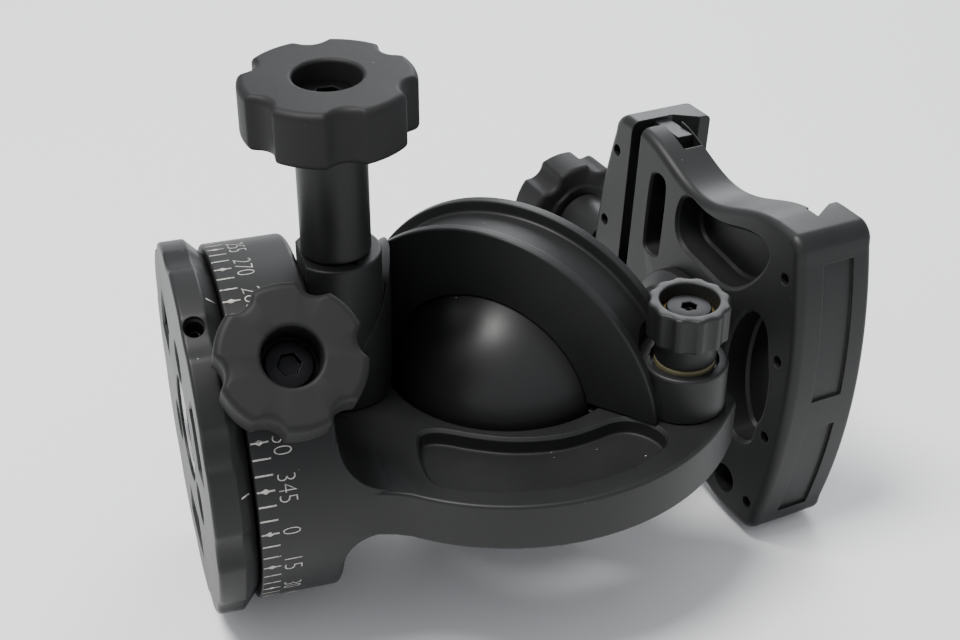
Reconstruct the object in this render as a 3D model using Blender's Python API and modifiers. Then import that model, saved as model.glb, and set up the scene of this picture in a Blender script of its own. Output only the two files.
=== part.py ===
"""Ball head lying on its side: panning base, split ball clamp, ball, and dovetail clamp.

World axes: +X runs from the base's mounting face towards the dovetail clamp, along the pan axis,
and +Z is up, along the axis of the main knob, both but for LEAN: the head rests on the rim of its base
and on a corner of its clamp, which lifts the far end a little.  The floor that it lies on is z = 0.
"""
import math
import bpy
import bmesh
from mathutils import Matrix, Vector

# ---- driving dimensions, in metres ----
GAP = 0.0003                  # play between neighbouring pieces
BASE_R = 0.0280               # base plate, which also sets the height of the pan axis
BASE_THICK = 0.0060
SCALLOPS = 11                 # finger notches round the base's rim
SCALLOP_R = 0.0074
SCALLOP_CENTRE = 0.03455
SCALLOP_FIRST = math.radians(60.5)
SET_SCREW_X = 0.0019          # set screw in the base's rim
SET_SCREW_ANGLE = math.radians(24.0)
BODY_R = 0.0268               # body cylinder with the degree scale
BODY_X0 = BASE_THICK + GAP
BODY_X1 = 0.0184
CAVITY_R = 0.0170             # hollow round the pan hub
CAVITY_X1 = 0.0148
BALL_R = 0.0176
BALL_X = 0.0500               # ball centre along the pan axis
SEAT_R = BALL_R + GAP
PLATE_TOP = 0.0034            # heights are measured from the pan axis
PLATE_BOTTOM = -0.0045
PLATE_R = 0.0363              # outer edge of the lower jaw, round the ball centre
PLATE_HOLE_R = 0.0189
ARM_Z0 = PLATE_TOP + GAP
RING_R = 0.0280               # the ring that carries the ball seat, in a plane at 45 degrees
RING_HALF = 0.0055
RING_GROOVE_HALF = 0.0039
RING_GROOVE_DEPTH = 0.0018
LOWER_RING_R = 0.0262
MAIN_X, MAIN_Y = 0.0240, -0.0011      # axis of the main knob
MAIN_BOSS_R = 0.0065
MAIN_BOSS_TOP = 0.0281
STEM_R = 0.00507
MAIN_GRIP_R = 0.0126
MAIN_GRIP_Z0, MAIN_GRIP_Z1 = 0.0466, 0.0554
EYE_X, EYE_Y = 0.0718, -0.0184        # axis of the tension screw
EYE_R = 0.0065
EYE_TOP = 0.0113
TENSION_R = 0.0061
TENSION_TOP = 0.0214
LOCK_X = 0.0129                       # pan lock knob: place along the pan axis
LOCK_ANGLE = math.radians(42.0)       # its tilt from +Z towards -Y
LOCK_FACE = 0.0368                    # distance of its outer face from the pan axis
LOCK_GRIP_R = 0.0103
STEM_AZIMUTH = math.radians(12.6)     # rest direction of the ball's stem
STEM_ELEVATION = math.radians(-3.45)
STEM_TWIST = math.radians(-0.6)
CLAMP_H = 0.0339                      # underside of the dovetail clamp, from the ball centre
CLAMP_FLOOR = 0.0080                  # dovetail floor above that underside
FILLET_Y = 0.0105                     # the body's fillets start this far in front of the pan axis
CLAMP_THICK = 0.0140
CLAMP_RELIEF = 0.0005         # groove between the dovetail floor and the fixed lip
CLAMP_SCREW_H = 0.0046         # clamp screw and guide pins above the underside
CLAMP_TOP_U = 0.0283                  # upper end, along the jaws
CLAMP_LOW_U = -0.0266                 # lower end
CLAMP_NEAR = 0.0250                   # near side at the ends
CLAMP_BULGE = 0.0030                  # how far the long sides swell at the middle
CLAMP_SPLIT = 0.0170                  # inner edge of the gap to the moving jaw
JAW_IN = 0.0196
NECK_R = 0.0062
CLAMP_KNOB_R = 0.0103
CLAMP_KNOB_W0, CLAMP_KNOB_W1 = 0.0385, 0.0465
LEAN = math.radians(1.1)              # rise of the pan axis towards the clamp
ORIGIN = Vector((0.0513, 0.00983, -0.02799))     # middle of the box's underside, in leaning coordinates
HINGE = (0.0779, -0.0206, ARM_Z0)     # edge that the upper arm rocks about as the main knob lets go
HINGE_DIR = (0.340321, 0.940309, 0.0)

COLLECTION = "ball_head"

for old in list(bpy.data.objects):
    bpy.data.objects.remove(old, do_unlink=True)
for name in (COLLECTION, "cutters"):
    bpy.context.scene.collection.children.link(bpy.data.collections.new(name))
PARTS = bpy.data.collections[COLLECTION]
CUTTERS = bpy.data.collections["cutters"]


# ---- materials ----
def material(name, colour, roughness, metallic):
    mat = bpy.data.materials.new(name)
    mat.use_nodes = True
    shader = mat.node_tree.nodes["Principled BSDF"]
    shader.inputs["Base Color"].default_value = (*colour, 1.0)
    shader.inputs["Roughness"].default_value = roughness
    shader.inputs["Metallic"].default_value = metallic
    return mat


ANODISED = material("anodised_black", (0.022, 0.023, 0.024), 0.42, 0.8)
BALL_BLACK = material("ball_black", (0.015, 0.016, 0.017), 0.33, 0.8)
RUBBER = material("rubber_black", (0.028, 0.028, 0.029), 0.62, 0.0)
STEEL = material("black_steel", (0.05, 0.05, 0.052), 0.3, 1.0)
BRIGHT = material("bright_steel", (0.45, 0.45, 0.46), 0.28, 1.0)
BRASS = material("brass", (0.62, 0.45, 0.16), 0.35, 1.0)
NYLON = material("nylon", (0.62, 0.56, 0.36), 0.5, 0.0)
SPRING_STEEL = material("spring_steel", (0.5, 0.5, 0.52), 0.3, 1.0)


# ---- placing ----
def axes(origin, z_dir, x_dir):
    """Frame at origin, given in pan axis coordinates, with local Z along z_dir and X near x_dir."""
    z = Vector(z_dir).normalized()
    x = Vector(x_dir)
    x = (x - z * x.dot(z)).normalized()
    y = z.cross(x)
    return Matrix.Translation(Vector(origin)) @ Matrix((x, y, z)).transposed().to_4x4()


UPRIGHT = axes((0, 0, 0), (0, 0, 1), (1, 0, 0))
PAN = axes((0, 0, 0), (1, 0, 0), (0, 0, 1))                       # local Z is the pan axis
BALL_CENTRE = Vector((BALL_X, 0.0, 0.0))
RING_AXIS = Vector((-math.sqrt(0.5), -math.sqrt(0.5), 0.0))
RING = axes(BALL_CENTRE, RING_AXIS, (0, 0, 1))
MAIN = axes((MAIN_X, MAIN_Y, 0), (0, 0, 1), (1, 0, 0))
TENSION = axes((EYE_X, EYE_Y, 0), (0, 0, 1), (1, 0, 0))
LOCK_DIR = Vector((0, -math.sin(LOCK_ANGLE), math.cos(LOCK_ANGLE)))
LOCK = axes((LOCK_X, 0, 0), LOCK_DIR, (1, 0, 0))


def clamp_axes():
    """Clamp frame at the ball centre: X across the jaws, Y along them, Z out along the stem."""
    out = Vector((math.cos(STEM_ELEVATION) * math.cos(STEM_AZIMUTH),
                  math.cos(STEM_ELEVATION) * math.sin(STEM_AZIMUTH), math.sin(STEM_ELEVATION)))
    level = Vector((0, 0, 1)).cross(out).normalized()
    across = Matrix.Rotation(STEM_TWIST, 3, out) @ level
    return axes(BALL_CENTRE, out, across)


CLAMP = clamp_axes()


def turned_frame(frame, offset, z_dir, x_dir=(0, 1, 0)):
    """A frame inside another one, shifted by offset and with its Z along z_dir there."""
    z = Vector(z_dir).normalized()
    x = Vector(x_dir)
    x = (x - z * x.dot(z)).normalized()
    y = z.cross(x)
    return frame @ Matrix.Translation(offset) @ Matrix((x, y, z)).transposed().to_4x4()


# ---- building ----
def finish(obj, mat, cutter=False):
    if cutter:
        CUTTERS.objects.link(obj)
        obj.hide_render = True
        obj.display_type = "WIRE"
    else:
        PARTS.objects.link(obj)
        obj.data.materials.append(mat)
    return obj


def smooth(obj, angle=35.0):
    obj.data.shade_smooth()
    obj.data.set_sharp_from_angle(angle=math.radians(angle))


def lathe(name, profile, frame, mat=None, steps=32, ring=False, cutter=False):
    """Turn a profile of (radius, height) points about the frame's Z.  It runs down the outer side."""
    mesh = bpy.data.meshes.new(name)
    count = len(profile)
    edges = [(i, i + 1) for i in range(count - 1)]
    if ring:
        edges.append((count - 1, 0))
    mesh.from_pydata([(r, 0, z) for r, z in profile], edges, [])
    obj = bpy.data.objects.new(name, mesh)
    obj.matrix_world = frame
    screw = obj.modifiers.new("turn", "SCREW")
    screw.steps = screw.render_steps = steps
    screw.use_merge_vertices = True
    screw.merge_threshold = 0.00001
    screw.use_smooth_shade = True
    return finish(obj, mat, cutter)


def rod(name, radius, z0, z1, frame, mat=None, steps=16, cutter=False, chamfer=0.0):
    top, low = max(z0, z1), min(z0, z1)
    profile = [(0, top), (radius - chamfer, top)]
    if chamfer:
        profile += [(radius, top - chamfer), (radius, low + chamfer)]
    else:
        profile += [(radius, low)]
    if chamfer:
        profile.append((radius - chamfer, low))
    profile.append((0, low))
    return lathe(name, profile, frame, mat, steps, cutter=cutter)


def sleeve(name, inner, outer, z0, z1, frame, mat=None, steps=24):
    top, low = max(z0, z1), min(z0, z1)
    return lathe(name, [(inner, top), (outer, top), (outer, low), (inner, low)], frame, mat, steps, ring=True)


def slab(name, outline, z0, z1, frame, mat=None, cutter=False):
    """Extrude a closed outline of (x, y) points between two heights of the frame."""
    curve = bpy.data.curves.new(name + "_outline", "CURVE")
    curve.dimensions = "2D"
    curve.fill_mode = "BOTH"
    curve.extrude = (z1 - z0) / 2
    spline = curve.splines.new("POLY")
    spline.points.add(len(outline) - 1)
    for point, (x, y) in zip(spline.points, outline):
        point.co = (x, y, 0, 1)
    spline.use_cyclic_u = True
    drawn = bpy.data.objects.new(name + "_outline", curve)
    bpy.context.scene.collection.objects.link(drawn)
    bpy.context.view_layer.update()
    mesh = bpy.data.meshes.new_from_object(drawn.evaluated_get(bpy.context.evaluated_depsgraph_get()))
    bpy.data.objects.remove(drawn, do_unlink=True)
    mesh.name = name
    work = bmesh.new()
    work.from_mesh(mesh)
    bmesh.ops.remove_doubles(work, verts=work.verts, dist=0.000001)
    bmesh.ops.recalc_face_normals(work, faces=work.faces)
    work.to_mesh(mesh)
    work.free()
    obj = bpy.data.objects.new(name, mesh)
    obj.matrix_world = frame @ Matrix.Translation((0, 0, (z0 + z1) / 2))
    return finish(obj, mat, cutter)


def ball(name, radius, frame, mat=None, rings=16, cutter=False):
    work = bmesh.new()
    bmesh.ops.create_uvsphere(work, u_segments=rings * 2, v_segments=rings, radius=radius)
    mesh = bpy.data.meshes.new(name)
    work.to_mesh(mesh)
    work.free()
    mesh.shade_smooth()
    obj = bpy.data.objects.new(name, mesh)
    obj.matrix_world = frame
    return finish(obj, mat, cutter)


def combine(obj, tool, how):
    step = obj.modifiers.new(how.lower() + "_" + tool.name, "BOOLEAN")
    step.operation = how
    step.solver = "EXACT"
    step.object = tool
    return obj


def cut(obj, *tools):
    for tool in tools:
        combine(obj, tool, "DIFFERENCE")
    return obj


def join(obj, *tools):
    for tool in tools:
        combine(obj, tool, "UNION")
    return obj


def arc(cx, cy, radius, start, end, count):
    """Points on an arc, in degrees."""
    turn = [math.radians(start + (end - start) * i / (count - 1)) for i in range(count)]
    return [(cx + radius * math.cos(a), cy + radius * math.sin(a)) for a in turn]


def lobed_outline(radius, lobes, notch_radius, notch_depth, first=0.0, lobe_points=3, notch_points=5):
    """A knob's plan: round lobes with a concave finger notch between each two."""
    centre = radius - notch_depth + notch_radius
    reach = (radius ** 2 + centre ** 2 - notch_radius ** 2) / (2 * radius * centre)
    half = math.degrees(math.acos(reach))
    bite = math.degrees(math.asin(radius * math.sin(math.radians(half)) / notch_radius))
    pitch = 360.0 / lobes
    points = []
    for i in range(lobes):
        middle = first + i * pitch
        cx = centre * math.cos(math.radians(middle))
        cy = centre * math.sin(math.radians(middle))
        points += arc(cx, cy, notch_radius, middle + 180 + bite, middle + 180 - bite, notch_points)
        points += arc(0, 0, radius, middle + half, middle + pitch - half, lobe_points + 2)[1:-1]
    return points


# ---- base plate, hub and tripod thread ----
def build_base():
    plate = lathe("base_plate", [(0.0081, BASE_THICK), (0.0252, BASE_THICK), (0.0268, 0.0052),
                                 (BASE_R, 0.0036), (BASE_R, 0.0006), (BASE_R - 0.0006, 0),
                                 (0.0081, 0)], PAN, ANODISED, 60, ring=True)
    pocket = arc(0, 0, 0.0215, -17, 17, 5) + arc(0, 0, 0.0150, 17, -17, 5)
    for i in range(3):
        turn = PAN @ Matrix.Rotation(math.radians(60 + 120 * i), 4, "Z")
        cut(plate, slab("base_pocket_%d" % i, pocket, -0.001, 0.0032, turn, cutter=True))
    for i in range(3):
        turn = (PAN @ Matrix.Rotation(math.radians(120 * i), 4, "Z") @ Matrix.Translation((0.0122, 0, 0))
                @ Matrix.Rotation(math.radians(7), 4, "Z"))
        cut(plate, lathe("base_screw_seat_%d" % i, [(0, 0.007), (0.0017, 0.007), (0.0017, 0.0026),
                         (0.0031, 0.0026), (0.0031, -0.001), (0, -0.001)], turn, steps=16, cutter=True))
        lathe("hub_screw_%d" % (i + 1), [(0, 0.0100), (0.0013, 0.0100), (0.0013, 0.0023), (0.0027, 0.0023),
              (0.0027, 0.0006), (0, 0.0006)], turn, STEEL, 12)
    rim = turned_frame(PAN, (0, 0, SET_SCREW_X),
                       (math.cos(SET_SCREW_ANGLE), math.sin(SET_SCREW_ANGLE), 0), (0, 0, 1))
    cut(plate, rod("set_screw_bore", 0.00130, 0.0225, 0.0310, rim, steps=14, cutter=True))
    for i in range(SCALLOPS):
        turn = SCALLOP_FIRST + 2 * math.pi * i / SCALLOPS
        bite = PAN @ Matrix.Translation((SCALLOP_CENTRE * math.cos(turn), SCALLOP_CENTRE * math.sin(turn), 0))
        cut(plate, rod("base_scallop_%02d" % i, SCALLOP_R, -0.001, 0.007, bite, steps=24, cutter=True))
    lathe("base_set_screw", [(0, 0.0240), (0.0006, 0.0240), (0.0006, 0.0252), (0.0011, 0.0252),
                             (0.0011, 0.0228), (0, 0.0228)], rim, STEEL, 12)
    lathe("tripod_bushing", [(0.0048, 0.0056), (0.0078, 0.0056), (0.0078, 0.0004), (0.0048, 0.0004)],
          PAN, BRIGHT, 24, ring=True)
    hub = lathe("pan_hub", [(0.0050, 0.0144), (0.0165, 0.0144), (0.0165, 0.0118), (0.0150, 0.0110),
                            (0.0150, 0.0063), (0.0050, 0.0063)], PAN, BRIGHT, 32, ring=True)
    for i in range(3):
        turn = PAN @ Matrix.Rotation(math.radians(120 * i), 4, "Z") @ Matrix.Translation((0.0122, 0, 0))
        cut(hub, rod("hub_bore_%d" % i, 0.0016, 0.0050, 0.0104, turn, steps=12, cutter=True))
    sleeve("pan_thrust_ring", 0.0153, 0.0167, 0.0096, 0.0107, PAN, BRASS, 32)
    sleeve("pan_snap_ring", 0.0153, 0.0167, 0.0080, 0.0093, PAN, SPRING_STEEL, 32)


# ---- body with its lower jaw ----
def jaw_outline():
    """Plan of the lower jaw about the pan axis, with the ball hole on its inner side."""
    outer = [(BALL_X + x, y) for x, y in arc(0, 0, PLATE_R, -130, -41, 14)]
    tip = arc(EYE_X + 0.0005, EYE_Y - 0.0002, 0.0077, -20, 80, 5)
    inner = [(BALL_X + x, y) for x, y in arc(0, 0, PLATE_HOLE_R, -26, -225, 24)]
    return ([(0.0155, -0.0262), (0.0226, -0.0265)] + outer + tip + inner
            + [(0.0302, 0.0202), (0.0262, 0.0240), (0.0155, 0.0200)])


def build_body():
    body = lathe("body_housing", [(0, BODY_X1), (BODY_R - 0.0008, BODY_X1), (BODY_R, BODY_X1 - 0.0008),
                                  (BODY_R, BODY_X0 + 0.0003), (BODY_R - 0.0003, BODY_X0), (0, BODY_X0)],
                 PAN, ANODISED, 72)
    jaw = slab("jaw_plate", jaw_outline(), PLATE_BOTTOM, PLATE_TOP, UPRIGHT, cutter=True)
    web_plan = [(0.0160, -0.0080), (0.0290, -0.0080), (0.0345, -0.0020), (0.0365, 0.0090),
                (0.0330, 0.0175), (0.0280, 0.0200), (0.0160, 0.0160)]
    web = slab("jaw_web", web_plan, -0.0200, PLATE_BOTTOM + 0.0005, UPRIGHT, cutter=True)
    ring = lathe("lower_ring", ring_profile(LOWER_RING_R, 0.0), RING, steps=40, ring=True, cutter=True)
    below = slab("below_jaw", [(0, -0.06), (0.1, -0.06), (0.1, 0.06), (0, 0.06)], -0.04, PLATE_TOP - 0.0010,
                 UPRIGHT, cutter=True)
    combine(ring, below, "INTERSECT")
    neck = slab("body_fillet", arc(0.0263, 0.0113, 0.0080, 180, 270, 7) + arc(0.0233, -0.0094, 0.0050, 90, 180, 6)
                + [(0.0150, -0.0094), (0.0150, 0.0113)], FILLET_Y, 0.0400, axes((0, 0, 0), (0, -1, 0), (1, 0, 0)),
                cutter=True)
    combine(neck, rod("body_fillet_round", BODY_R - 0.0002, 0.0140, 0.0300, PAN, steps=72, cutter=True), "INTERSECT")
    join(body, jaw, web, ring, neck)
    cut(body, ball("lower_seat", SEAT_R, axes(BALL_CENTRE, (0, 0, 1), (1, 0, 0)), cutter=True),
        rod("hub_cavity", CAVITY_R, -0.01, CAVITY_X1, PAN, steps=48, cutter=True),
        rod("main_thread", 0.0034, -0.0090, 0.006, MAIN, cutter=True),
        rod("tension_hole", 0.0026, -0.02, 0.01, TENSION, cutter=True),
        rod("tension_nut_room", 0.0046, -0.0300, PLATE_BOTTOM, TENSION, steps=20, cutter=True),
        rod("lock_bore", 0.0027, 0.0100, 0.0400, LOCK, cutter=True))
    pocket = ([(BALL_X + x, y) for x, y in arc(0, 0, 0.0215, -138, -72, 8)]
              + [(BALL_X + 0.0110, -0.0205), (BALL_X + 0.0145, -0.0255), (BALL_X + 0.0145, -0.0290)]
              + [(BALL_X + x, y) for x, y in arc(0, 0, 0.0328, -66, -128, 8)])
    cut(body, slab("jaw_pocket", pocket, PLATE_TOP - 0.0026, PLATE_TOP + 0.001, UPRIGHT, cutter=True))
    smooth(body)


def ring_profile(radius, groove):
    """Section of the ball ring: radius against distance along its axis, with a curved seat."""
    seat = [(math.sqrt(SEAT_R ** 2 - z ** 2) - 0.0006, z) for z in (-RING_HALF, 0.0, RING_HALF)]
    outer = [(radius - 0.0006, RING_HALF), (radius, RING_HALF - 0.0006)]
    if groove:
        outer += [(radius, RING_GROOVE_HALF), (radius - groove, RING_GROOVE_HALF - 0.0006),
                  (radius - groove, 0.0006 - RING_GROOVE_HALF), (radius, -RING_GROOVE_HALF)]
    outer += [(radius, 0.0006 - RING_HALF), (radius - 0.0006, -RING_HALF)]
    return outer + seat


# ---- upper arm, over the ball ----
def build_arm():
    arm = lathe("upper_arm", ring_profile(RING_R, RING_GROOVE_DEPTH), RING, ANODISED, 60, ring=True)
    above = slab("above_jaw", [(0.0188, -0.06), (0.12, -0.06), (0.12, 0.06), (0.0188, 0.06)],
                 ARM_Z0, 0.05, UPRIGHT, cutter=True)
    boss = rod("arm_boss", MAIN_BOSS_R, ARM_Z0 - 0.001, MAIN_BOSS_TOP, MAIN, steps=30, cutter=True, chamfer=0.0008)
    eye = rod("arm_eye", EYE_R, ARM_Z0 - 0.002, EYE_TOP, TENSION, steps=28, cutter=True, chamfer=0.0004)
    web_plan = [(0.0180, -0.0070), (0.0275, -0.0078), (0.0312, -0.0030), (0.0338, 0.0070),
                (0.0340, 0.0140), (0.0290, 0.0195), (0.0240, 0.0150), (0.0180, 0.0080)]
    web = slab("arm_web", web_plan, ARM_Z0 - 0.001, 0.0300, UPRIGHT, cutter=True)
    combine(web, ball("arm_round", 0.0288, axes(BALL_CENTRE, (0, 0, 1), (1, 0, 0)), rings=14, cutter=True),
            "INTERSECT")
    join(arm, boss, web, eye)
    combine(arm, above, "INTERSECT")
    hinge = bpy.data.objects.new("arm_hinge", None)
    hinge.matrix_world = axes(HINGE, HINGE_DIR, (0, 0, 1))
    PARTS.objects.link(hinge)
    cut(arm, ball("upper_seat", SEAT_R, axes(BALL_CENTRE, (0, 0, 1), (1, 0, 0)), cutter=True),
        rod("arm_main_bore", 0.0039, 0, 0.04, MAIN, cutter=True),
        rod("arm_eye_bore", 0.0026, 0, 0.02, TENSION, cutter=True),
        rod("arm_eye_seat", 0.0051, EYE_TOP - 0.0012, 0.02, TENSION, cutter=True, steps=24),
        rod("arm_knob_room", 0.0068, EYE_TOP + 0.0001, 0.05, TENSION, cutter=True, steps=28))
    smooth(arm)
    arm.parent = hinge
    arm.matrix_parent_inverse = hinge.matrix_world.inverted()


# ---- ball and stem ----
def build_ball():
    ball("ball", BALL_R, axes(BALL_CENTRE, (0, 0, 1), (1, 0, 0)), BALL_BLACK, rings=18)
    end = [(r, math.sqrt((BALL_R + GAP) ** 2 - r ** 2)) for r in (NECK_R - 0.0003, 0.0042, 0.0022, 0.0)]
    lathe("ball_stem", [(0, 0.0250), (0.0026, 0.0250), (0.0026, CLAMP_H - GAP), (0.0098, CLAMP_H - GAP),
                        (0.0098, 0.0322), (0.0072, 0.0300), (NECK_R, 0.0275), (NECK_R, end[0][1] + 0.0004)]
          + end, CLAMP, BALL_BLACK, 28)


# ---- knobs ----
def knob_grip(name, radius, notch, z0, z1, bore, well, frame, first):
    """Six-lobed grip with a round well in its outer face and a through bore."""
    grip = slab(name, lobed_outline(radius, 6, notch, radius * 0.125, first), z0, z1, frame, RUBBER)
    bevel = grip.modifiers.new("rounded", "BEVEL")
    bevel.width = 0.0008
    bevel.segments = 1
    bevel.limit_method = "ANGLE"
    bevel.angle_limit = math.radians(50)
    cut(grip, lathe(name + "_well", [(0, z1 + 0.001), (well, z1 + 0.001), (well, z1 - 0.0035),
                    (bore, z1 - 0.0035), (bore, z0 - 0.001), (0, z0 - 0.001)], frame, steps=24, cutter=True))
    return grip


def build_main_knob():
    knob_grip("main_knob_grip", MAIN_GRIP_R, 0.0033, MAIN_GRIP_Z0, MAIN_GRIP_Z1, 0.0037, 0.0048, MAIN, 29)
    sleeve("main_knob_stem", 0.0034, STEM_R, MAIN_BOSS_TOP + GAP, MAIN_GRIP_Z0 - GAP, MAIN, ANODISED, 28)
    sleeve("main_knob_insert", 0.0025, 0.0034, MAIN_GRIP_Z0 + GAP, MAIN_GRIP_Z1 - 0.0040, MAIN, BRASS, 20)
    rod("main_stud", 0.0030, -0.0080, MAIN_GRIP_Z0 - 0.0006, MAIN, STEEL, 16)
    lathe("main_knob_cap_screw", [(0, MAIN_GRIP_Z1 - 0.0022), (0.0040, MAIN_GRIP_Z1 - 0.0022),
          (0.0040, MAIN_GRIP_Z1 - 0.0034 + 0.0002), (0.0021, MAIN_GRIP_Z1 - 0.0032),
          (0.0021, MAIN_GRIP_Z0 + 0.0002), (0, MAIN_GRIP_Z0 + 0.0002)], MAIN, STEEL, 16)


def build_lock_knob():
    low = LOCK_FACE - 0.0078
    knob_grip("pan_lock_grip", LOCK_GRIP_R, 0.0028, low, LOCK_FACE, 0.0030, 0.0041, LOCK, 3)
    rod("pan_lock_stud", 0.0023, 0.0196, low - GAP, LOCK, STEEL, 14)
    sleeve("pan_lock_collar", 0.0026, 0.0046, BODY_R + 0.0004, low - GAP, LOCK, ANODISED, 20)
    lathe("pan_lock_screw", [(0, LOCK_FACE - 0.0022), (0.0034, LOCK_FACE - 0.0022),
          (0.0034, LOCK_FACE - 0.0033), (0.0023, LOCK_FACE - 0.0033), (0.0023, low + 0.0002),
          (0, low + 0.0002)], LOCK, STEEL, 14)
    rod("pan_brake_shoe", 0.0024, 0.0170, 0.0193, LOCK, BRASS, 14)


def build_tension():
    top = TENSION_TOP
    scallops = lobed_outline(TENSION_R, 8, 0.0030, TENSION_R * 0.05, 10, 1, 3)
    grip = slab("tension_knob", scallops, top - 0.0058, top, TENSION, ANODISED)
    join(grip, rod("tension_collar_shape", 0.0046, EYE_TOP + 0.0006, top - 0.0050, TENSION, steps=24, cutter=True))
    cut(grip, lathe("tension_well", [(0, top + 0.001), (0.0043, top + 0.001), (0.0043, top - 0.0032),
                    (0.0023, top - 0.0032), (0.0023, 0), (0, 0)], TENSION, steps=20, cutter=True))
    lathe("tension_screw", [(0, top - 0.0012), (0.0033, top - 0.0012), (0.0033, top - 0.0027),
          (0.0020, top - 0.0027), (0.0020, -0.0085), (0, -0.0085)], TENSION, STEEL, 16)
    sleeve("tension_brass_ring", 0.0035, 0.0041, top - 0.0029, top - 0.0016, TENSION, BRASS, 20)
    sleeve("tension_washer", 0.0023, 0.0048, EYE_TOP - 0.0009, EYE_TOP + 0.0003, TENSION, NYLON, 20)
    sleeve("tension_nut", 0.0023, 0.0042, -0.0100, PLATE_BOTTOM - GAP, TENSION, STEEL, 20)


# ---- dovetail clamp ----
def clamp_outline():
    """Plan of the whole clamp: long sides swell outward, ends are waisted."""
    near, bulge = CLAMP_NEAR, CLAMP_BULGE
    middle, half = (CLAMP_TOP_U + CLAMP_LOW_U) / 2, (CLAMP_TOP_U - CLAMP_LOW_U) / 2
    side = [(near + bulge * (1 - (t / 4.0) ** 2), half * 0.86 * t / 4.0) for t in range(-4, 5)]
    corner = [(near - 0.0008, half * 0.945), (near - 0.0030, half)]
    waist = [(x, half - 0.0045 * math.cos(math.pi * x / 0.036) ** 2) for x in
             (0.0180, 0.0145, 0.0110, 0.0070, 0.0035, 0.0, -0.0035, -0.0070, -0.0110, -0.0145, -0.0180)]
    upper = side + corner + waist
    return [(x, y + middle) for x, y in upper + [(-x, -y) for x, y in upper]]


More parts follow.
